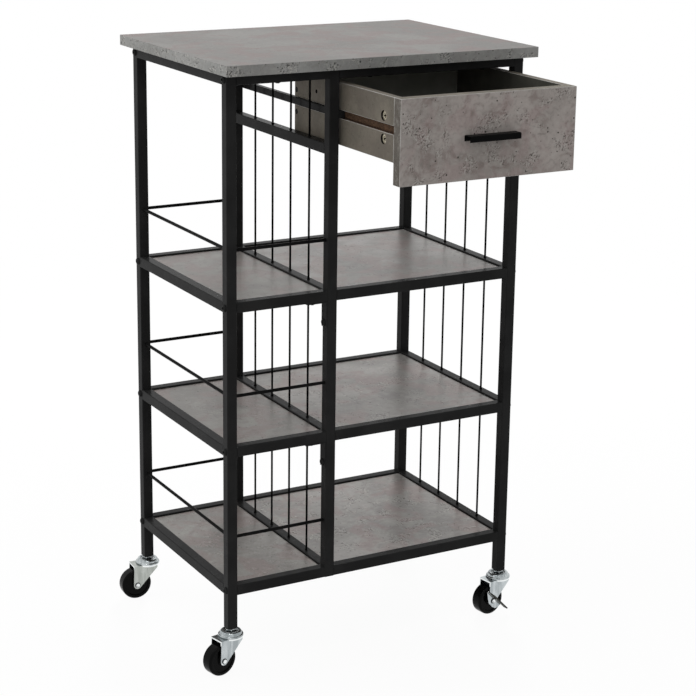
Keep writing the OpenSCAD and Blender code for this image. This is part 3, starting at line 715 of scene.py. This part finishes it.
# Painted reflection: a warmer, duller copy of the zinc for the rear forks.
REAR_ZINC_REFLECTION = ZincPlate("rear_zinc_painted_reflection", pale="#b9bdb8", dull="#9ea29d")
# Painted shade: the stems' hollows darken over a wider reach, round the collar.
STEM_ZINC = ZincPlate("stem_zinc", pale="#c6cccd", dull="#868d8f", hollow_shade_reach=8 * MM, roughness=0.12)
# Painted reflection: a dark grey coat on the pedal tab stands for the dark surroundings it mirrors.
PEDAL_REFLECTION = PowderCoat("pedal_painted_reflection", coat="#30312c", worn="#4d4e47", roughness=0.5, gloss=0.06)
# Painted highlight: near-white zinc on bevelled cut edges, stem rims and rivet middles.
EDGE_HIGHLIGHT = ZincPlate("edge_painted_highlight", pale="#f4f7f7", dull="#e6eaea", hollow_shade_share=0.3, roughness=0.14)
# Painted shade: dark zinc on the sloped rim round each rivet head.
RIVET_RIM_SHADE = ZincPlate("rivet_rim_painted_shade", pale="#4a4e50", dull="#2c2f31", roughness=0.3)
WHEEL = MouldedBlack("wheel_plastic", roughness=0.18)
PLASTIC = MouldedBlack("moulded_plastic", rub_share=0.25)
CORE = FibreCore("fibre_core")
# Painted shade: a near-black copy of the fibre core on the walls of round bores.
BORE_SHADE = FibreCore("bore_painted_shade", pale="#1b1612", deep="#0e0b09")
LINING = GreyLining("drawer_lining")
# Painted light: a paler copy of the lining for the back's inner face, which faces the light.
BACK_LINING_PAINTED_LIGHT = GreyLining("back_lining_painted_light", body="#83837c", pale="#93938b")
CAM = CamMetal("cam_metal")


class Dresser:
    """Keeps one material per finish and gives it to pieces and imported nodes."""

    def __init__(self) -> None:
        """Starts with no material."""
        self.made: Dict[Finish, bpy.types.Material] = {}

    def material(self, finish: Finish) -> bpy.types.Material:
        """Material of a finish, made on first use."""
        if finish not in self.made:
            self.made[finish] = finish.material()
        return self.made[finish]

    def carry(self, node: str, finish: Finish) -> None:
        """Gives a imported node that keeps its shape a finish.

        Args:
            node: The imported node.
            finish: What it is made of.
        """
        for slot in frame["nodes"][node].material_slots:
            slot.link = "OBJECT"
            slot.material = self.material(finish)
        LOG.info("carried over %s in %s", node, finish.name)

    def adopt(self, piece: bpy.types.Object, node: str, finish: Finish) -> bpy.types.Object:
        """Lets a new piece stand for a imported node.

        Args:
            piece: The new piece.
            node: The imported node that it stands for.
            finish: Its main finish.

        Returns:
            The piece.
        """
        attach(piece, frame["nodes"][node]["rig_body"])
        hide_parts(node)
        LOG.info("made %s for %s in %s", piece.name, node, finish.name)
        return piece


class Layer(IntEnum):
    """Place of each finish in a board."""

    OUTER = 0
    EDGE = 1
    CORE = 2
    LINING = 3
    PALE_LINE = 4
    FRONT_END = 5
    BACK_LINING_PAINTED_LIGHT = 6
    BORE_SHADE = 7


class Coat(IntEnum):
    """Place of each finish in a metal piece."""

    MAIN = 0
    EDGE = 1
    PEDAL_REFLECTION = 2


class Side(Enum):
    """The six faces of a board."""

    LEFT = (-1, 0, 0)
    RIGHT = (1, 0, 0)
    FRONT = (0, -1, 0)
    BACK = (0, 1, 0)
    BOTTOM = (0, 0, -1)
    TOP = (0, 0, 1)

    @staticmethod
    def facing(normal: Vector) -> "Side":
        """Side that a normal points to most."""
        return max(Side, key=lambda side: normal.dot(Vector(side.value)))


@dataclass
class Recut:
    """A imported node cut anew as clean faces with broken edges."""

    node: str
    piece: str
    width: float = 0.5 * MM
    steps: int = 3
    crease: float = 30.0
    shortest: float = 0.0
    arris: int = -1
    weld: float = 0.001 * MM
    flat_within: float = 0.5
    soft_within: float = 36.0

    def mesh(self) -> bmesh.types.BMesh:
        """Copies the node, joins its flat faces and rounds its long edges.

        Returns:
            The new mesh data, which the caller frees.
        """
        made = bmesh.new()
        made.from_mesh(frame["nodes"][self.node].data)
        bmesh.ops.remove_doubles(made, verts=made.verts, dist=self.weld)
        bmesh.ops.dissolve_limit(
            made, angle_limit=math.radians(self.flat_within), verts=made.verts, edges=made.edges,
            delimit={"NORMAL"})
        edges = [
            e for e in made.edges
            if len(e.link_faces) == 2 and e.calc_face_angle(0.0) > math.radians(self.crease)
            and e.calc_length() > self.shortest]
        bmesh.ops.bevel(
            made, geom=edges, offset=self.width, offset_type="OFFSET", segments=self.steps,
            profile=ROUND_PROFILE, affect="EDGES", clamp_overlap=True, material=self.arris)
        return made

    def pick(self, face: bmesh.types.BMFace) -> int:
        """Place of a face's finish among the piece's finishes."""
        return face.material_index

    def build(self, dresser: Dresser, finishes: Sequence[Finish], slot: str) -> bpy.types.Object:
        """Makes the piece.

        Args:
            dresser: Where its materials come from.
            finishes: Its finishes, the main one first.
            slot: The record's slot of the main finish; not used.

        Returns:
            The piece, riding on the node's body.
        """
        made = self.mesh()
        for face in made.faces:
            face.smooth = True
            face.material_index = self.pick(face)
        data = bpy.data.meshes.new(self.piece)
        made.to_mesh(data)
        made.free()
        data.set_sharp_from_angle(angle=math.radians(self.soft_within))
        for finish in finishes:
            data.materials.append(dresser.material(finish))
        piece = bpy.data.objects.new(self.piece, data)
        bpy.context.scene.collection.objects.link(piece)
        shade = piece.modifiers.new("even_faces", "WEIGHTED_NORMAL")
        shade.keep_sharp = True
        return dresser.adopt(piece, self.node, finishes[0])


@dataclass
class Board(Recut):
    """A board whose faces, edges and drilled or routed core differ."""

    sides: Mapping[Side, Layer] = field(default_factory=dict)
    bore: int = Layer.CORE
    bore_strip: float = 2.5 * MM
    skin: float = 1.2
    box: Tuple[Vector, Vector] = field(init=False)

    def __post_init__(self) -> None:
        """Keeps the node's lowest and highest corners."""
        self.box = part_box(self.node)

    def pick(self, face: bmesh.types.BMFace) -> int:
        """Place of a face's finish: by its side on the skin, else the core's, or in a round bore the painted
        shade.
        """
        middle = face.calc_center_median()
        depth = min(min(middle - self.box[0]), min(self.box[1] - middle))
        if depth > self.skin * self.width:
            across = face.calc_area() / max(edge.calc_length() for edge in face.edges)
            return self.bore if across < self.bore_strip else Layer.CORE
        if self.arris >= 0 and face.material_index == self.arris:
            return self.arris
        return self.sides.get(Side.facing(face.normal), Layer.EDGE)


@dataclass
class PressedPlate(Recut):
    """A pressed sheet piece with a painted highlight on its cut edges and, on a pedal, a tab with a painted
    dark reflection.
    """

    sheet: float = 2.2 * MM
    tread: int = -1
    upright: float = 0.3
    web: Tuple[Vector, Vector] = field(init=False)

    def mesh(self) -> bmesh.types.BMesh:
        """Copies the node as any recut does and keeps the middle and normal of its widest upright face."""
        made = super().mesh()
        walls = (face for face in made.faces if abs(face.normal.z) < self.upright)
        widest = max(walls, key=lambda face: face.calc_area())
        self.web = (widest.calc_center_median(), widest.normal.copy())
        return made

    def pick(self, face: bmesh.types.BMFace) -> int:
        """Place of a face's finish: tab with the painted dark reflection, cut edge with the painted
        highlight, or plain sheet.
        """
        beyond = (self.web[0] - face.calc_center_median()).dot(self.web[1])
        if self.tread >= 0 and beyond > self.sheet:
            return self.tread
        across = face.calc_area() / max(edge.calc_length() for edge in face.edges)
        return self.arris if face.material_index == self.arris or across < self.sheet else Coat.MAIN


@dataclass
class Rivet(Recut):
    """A riveted axle whose head has painted shade on its rim round a painted highlight in the middle."""

    rim_from: float = 3.2 * MM
    middle: Vector = field(init=False)
    along: Vector = field(init=False)

    def mesh(self) -> bmesh.types.BMesh:
        """Copies the node as any recut does and keeps the axle's middle and direction."""
        made = super().mesh()
        longest = max(made.edges, key=lambda edge: edge.calc_length())
        self.along = (longest.verts[1].co - longest.verts[0].co).normalized()
        self.middle = sum((vert.co for vert in made.verts), Vector()) / len(made.verts)
        return made

    def pick(self, face: bmesh.types.BMFace) -> int:
        """Place of a face's finish: the painted shade of the head's rim, by its distance from the axis, else
        the main one.
        """
        reach = face.calc_center_median() - self.middle
        away = (reach - self.along * reach.dot(self.along)).length
        return Coat.EDGE if away > self.rim_from else Coat.MAIN


@dataclass
class TubeFrame:
    """Posts, rails, rods, grilles and their fasteners."""

    tubes: Sequence[str] = (
        "post_left_front", "post_left_rear", "post_divider_front", "post_divider_rear", "post_right_front",
        "post_right_rear", "side_rails_low", "side_rails_middle", "side_rails_high", "side_rails_top",
        "cross_rails_low", "cross_rails_middle", "cross_rails_high", "cross_rails_top", "drawer_rails",
        "drawer_runners", "shelf_tabs")
    wires: Sequence[str] = ("grille_divider", "grille_right")
    bolts: Sequence[str] = ("bracket_bolts", "frame_bolts", "divider_bolts", "worktop_screws")
    plugs: Sequence[str] = ("post_inserts", "post_caps")
    fold: float = 0.4 * MM
    shortest: float = 1.0 * MM

    def dress(self, dresser: Dresser) -> None:
        """Coats the steel and the plastic plugs, and rounds the folded brackets."""
        for node in (*self.tubes, *self.bolts):
            dresser.carry(node, STEEL)
        for node in self.wires:
            dresser.carry(node, WIRE_STEEL)
        dresser.carry("guard_rods", ROD_STEEL)
        for node in self.plugs:
            dresser.carry(node, PLASTIC)
        dresser.carry("shelf_screws", ZINC)
        Recut("angle_brackets", "bracket_plates", self.fold, shortest=self.shortest).build(
            dresser, [STEEL], "black_steel")


@dataclass
class Boards:
    """Worktop and shelf panels, with marks that differ from level to level."""

    levels: Mapping[str, float] = field(
        default_factory=lambda: {"low": 0.8, "middle": 0.55, "high": 0.35})
    bays: Mapping[str, StoneLaminate] = field(
        default_factory=lambda: {"left": NARROW_SHADED_LAMINATE, "right": SHELF_LAMINATE})
    edge: float = 0.7 * MM
    shortest: float = 3.0 * MM

    def dress(self, dresser: Dresser) -> None:
        """Makes the worktop and six panels with banded, rounded edges."""
        faces = {Side.TOP: Layer.OUTER, Side.BOTTOM: Layer.OUTER}
        Board("worktop", "worktop_board", self.edge, sides=faces).build(
            dresser, [TOP_LAMINATE, EDGE_BAND, CORE], "grey_laminate")
        for level, marks in self.levels.items():
            for bay, sheet in self.bays.items():
                face = replace(
                    sheet, name=f"{sheet.name}_{level}", curl_share=marks * sheet.curl_share,
                    mottle_share=marks * sheet.mottle_share)
                finishes = [face, EDGE_BAND, CORE, ARRIS]
                panel = Board(
                    f"shelf_{bay}_{level}", f"panel_{bay}_{level}", self.edge, shortest=self.shortest,
                    arris=finishes.index(ARRIS), sides=faces)
                panel.build(dresser, finishes, "grey_laminate")


@dataclass
class Drawer:
    """Drawer box with its handle, cams and screws."""

    edge: float = 0.6 * MM
    shortest: float = 3.0 * MM
    handle_edge: float = 0.4 * MM
    handle_shortest: float = 1.0 * MM
    cam_edge: float = 0.25 * MM

    def _board(self, dresser: Dresser, node: str, face: Finish, sides: Mapping[Side, Layer]) -> None:
        """Makes one drawer board.

        Args:
            dresser: Where its materials come from.
            node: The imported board.
            face: Finish of its outer face.
            sides: Layer of each face that isn't a plain edge.
        """
        finishes = [face, SIDE_LAMINATE, CORE, LINING, ARRIS, FRONT_BAND, BACK_LINING_PAINTED_LIGHT, BORE_SHADE]
        board = Board(
            node, f"{node}_board", self.edge, shortest=self.shortest, arris=Layer.PALE_LINE, bore=Layer.BORE_SHADE,
            sides=sides)
        board.build(dresser, finishes, "grey_laminate")

    def dress(self, dresser: Dresser) -> None:
        """Makes the boards and the folded handle and finishes the metal."""
        self._board(dresser, "drawer_front", FRONT_LAMINATE, {
            Side.FRONT: Layer.OUTER, Side.BACK: Layer.LINING,
            Side.LEFT: Layer.FRONT_END, Side.RIGHT: Layer.FRONT_END})
        self._board(dresser, "drawer_side_left", SIDE_LAMINATE, {
            Side.LEFT: Layer.OUTER, Side.RIGHT: Layer.LINING})
        self._board(dresser, "drawer_side_right", SIDE_LAMINATE, {
            Side.RIGHT: Layer.OUTER, Side.LEFT: Layer.LINING})
        self._board(dresser, "drawer_back", SIDE_LAMINATE, {
            Side.BACK: Layer.OUTER, Side.FRONT: Layer.BACK_LINING_PAINTED_LIGHT})
        dresser.carry("drawer_bottom", LINING)
        Recut("drawer_handle", "folded_handle", self.handle_edge, shortest=self.handle_shortest).build(
            dresser, [HANDLE_STEEL], "black_steel")
        Recut("cam_locks", "cam_heads", self.cam_edge).build(dresser, [CAM], "cam_metal")
        dresser.carry("handle_screws", ZINC)
        dresser.carry("drawer_screws", SCREW_STEEL)


@dataclass
class Casters:
    """Four swivel casters, two with a brake pedal."""

    corners: Sequence[str] = ("left_front", "left_rear", "right_front", "right_rear")
    braked: Sequence[str] = ("right_front", "right_rear")
    rear: Sequence[str] = ("left_rear", "right_rear")
    turned_crease: float = 40.0
    stem_edge: float = 0.3 * MM
    fork_edge: float = 0.5 * MM
    wheel_edge: float = 0.4 * MM
    rivet_edge: float = 0.15 * MM
    pedal_edge: float = 0.35 * MM
    shortest: float = 0.8 * MM

    def _fork(self, dresser: Dresser, corner: str) -> None:
        """Makes one pressed fork with a painted highlight on its cut edges."""
        plate = PressedPlate(
            f"fork_{corner}", f"fork_plate_{corner}", self.fork_edge, shortest=self.shortest, arris=Coat.EDGE)
        # Rear forks take the zinc copy with the painted reflection.
        plate.build(dresser, [REAR_ZINC_REFLECTION if corner in self.rear else ZINC, EDGE_HIGHLIGHT], "zinc")

    def _pedal(self, dresser: Dresser, corner: str) -> None:
        """Makes one brake lever whose pedal tab carries a painted dark reflection."""
        lever = PressedPlate(
            f"brake_{corner}", f"pedal_{corner}", self.pedal_edge, shortest=self.shortest, arris=Coat.EDGE,
            tread=Coat.PEDAL_REFLECTION)
        lever.build(dresser, [ZINC, EDGE_HIGHLIGHT, PEDAL_REFLECTION], "zinc")

    def dress(self, dresser: Dresser) -> None:
        """Rounds and finishes the stems, forks, wheels, axles and pedals."""
        crease = self.turned_crease
        Recut("caster_stems", "stems_and_caps", self.stem_edge, crease=crease, arris=Coat.EDGE).build(
            dresser, [STEM_ZINC, EDGE_HIGHLIGHT], "zinc")
        for corner in self.corners:
            self._fork(dresser, corner)
            Recut(f"wheel_{corner}", f"tread_{corner}", self.wheel_edge, crease=crease).build(
                dresser, [WHEEL], "wheel_plastic")
            Rivet(f"axle_{corner}", f"rivet_{corner}", self.rivet_edge, crease=crease).build(
                dresser, [EDGE_HIGHLIGHT, RIVET_RIM_SHADE], "zinc")
        for corner in self.braked:
            self._pedal(dresser, corner)


@dataclass
class Lamp:
    """A square soft box."""

    name: str
    place: Triple
    target: Triple
    size: float
    power: float
    mirrored: bool = True

    def light(self) -> None:
        """Hangs the soft box and turns it to its target."""
        data = bpy.data.lights.new(self.name, "AREA")
        data.shape = "SQUARE"
        data.size = self.size
        data.energy = self.power
        lamp = bpy.data.objects.new(self.name, data)
        bpy.context.scene.collection.objects.link(lamp)
        lamp.location = self.place
        lamp.visible_glossy = self.mirrored
        aim = Vector(self.target) - Vector(self.place)
        lamp.rotation_euler = aim.to_track_quat("-Z", "Y").to_euler()


@dataclass
class Studio:
    """Camera, pale floor, white surround and soft boxes."""

    image: int = 696
    sensor: float = 36.0
    focal: float = 1900.49
    eye: Triple = (-1.378950, -2.481510, 1.296700)
    azimuth: float = -29.29
    elevation: float = 14.97
    roll: float = 0.76
    framing: float = -48.0
    view_end: float = 60.0
    floor_half: float = 9.0
    floor_tone: Colour = (0.6, 0.6, 0.6, 1.0)
    floor_seen: Colour = (0.97, 0.97, 0.97, 1.0)
    floor_glow: float = 0.95
    fade: Span = (0.7, 2.6)
    fill: float = 0.5
    lamps: List[Lamp] = field(default_factory=lambda: [
        Lamp("key_box", (-2.4, 1.2, 2.1), (0.0, 0.0, 0.6), 2.2, 25.0, False),
        Lamp("back_box", (1.6, 2.8, 1.6), (0.0, 0.0, 0.5), 0.8, 66.0, False),
        Lamp("spark_box", (-1.0, -0.6, 2.9), (0.0, 0.0, 0.4), 0.4, 5.0),
        Lamp("front_box", (-1.15, -2.4, 1.75), (0.0, 0.0, 0.3), 0.12, 1.2)])

    def camera(self) -> None:
        """Places the camera at the photograph's viewing angle."""
        azimuth, elevation, roll = (math.radians(v) for v in (self.azimuth, self.elevation, self.roll))
        ahead = Vector((-math.sin(azimuth) * math.cos(elevation), math.cos(azimuth) * math.cos(elevation),
                        -math.sin(elevation)))
        right = ahead.cross(Vector((0, 0, 1))).normalized()
        above = right.cross(ahead)
        across = right * math.cos(roll) + above * math.sin(roll)
        upright = above * math.cos(roll) - right * math.sin(roll)
        data = bpy.data.cameras.new("photo_camera")
        data.sensor_width = self.sensor
        data.lens = self.focal * self.sensor / self.image
        data.shift_y = self.framing / self.image
        data.clip_end = self.view_end
        eye = bpy.data.objects.new("photo_camera", data)
        bpy.context.scene.collection.objects.link(eye)
        turn = Matrix((across, upright, -ahead)).transposed().to_4x4()
        eye.matrix_world = Matrix.Translation(self.eye) @ turn
        bpy.context.scene.camera = eye

    def floor(self) -> None:
        """Lays a pale floor that keeps the cart's soft shadow."""
        half = self.floor_half
        data = bpy.data.meshes.new("floor")
        corners = [(-half, -half, 0), (half, -half, 0), (half, half, 0), (-half, half, 0)]
        data.from_pydata(corners, [], [(0, 1, 2, 3)])
        floor = bpy.data.objects.new("floor", data)
        bpy.context.scene.collection.objects.link(floor)
        made = bpy.data.materials.new("pale_floor")
        made.use_nodes = True
        g = Graph(made.node_tree)
        plain = g.add("ShaderNodeBsdfDiffuse", None, {"Color": self.floor_tone})
        pale = g.add("ShaderNodeBsdfDiffuse", None, {"Color": self.floor_seen})
        glow = g.add("ShaderNodeEmission", None, {"Color": WHITE, "Strength": 1.0})
        reach = g.add("ShaderNodeVectorMath", {"operation": "LENGTH"}, {0: g.place()}, "Value")
        share = reach.step(*self.fade) * (1.0 - self.floor_glow) + self.floor_glow
        seen = g.add("ShaderNodeMixShader", None, {0: share, 1: pale, 2: glow})
        both = g.add("ShaderNodeMixShader", None, {0: g.shown(), 1: plain, 2: seen})
        g.end("ShaderNodeOutputMaterial", both)
        data.materials.append(made)

    def surround(self) -> None:
        """Sets a white surround that fills the shadows only softly."""
        world = bpy.data.worlds.new("white_surround")
        bpy.context.scene.world = world
        world.use_nodes = True
        g = Graph(world.node_tree)
        soft = g.add("ShaderNodeBackground", None, {"Color": WHITE, "Strength": self.fill})
        seen = g.add("ShaderNodeBackground", None, {"Color": WHITE, "Strength": 1.0})
        both = g.add("ShaderNodeMixShader", None, {0: g.shown(), 1: soft, 2: seen})
        g.end("ShaderNodeOutputWorld", both)

    def build(self) -> None:
        """Sets up the whole studio."""
        bpy.context.scene.view_settings.view_transform = "Standard"
        self.camera()
        self.floor()
        self.surround()
        for lamp in self.lamps:
            lamp.light()
            LOG.info("hung %s", lamp.name)


def main() -> None:
    """Builds the cart's pieces in order."""
    logging.basicConfig(level=logging.INFO, format="%(name)s: %(message)s")
    dresser = Dresser()
    for assembly in (TubeFrame(), Boards(), Drawer(), Casters()):
        assembly.dress(dresser)
    Studio().build()


if __name__ == "__main__":
    main()
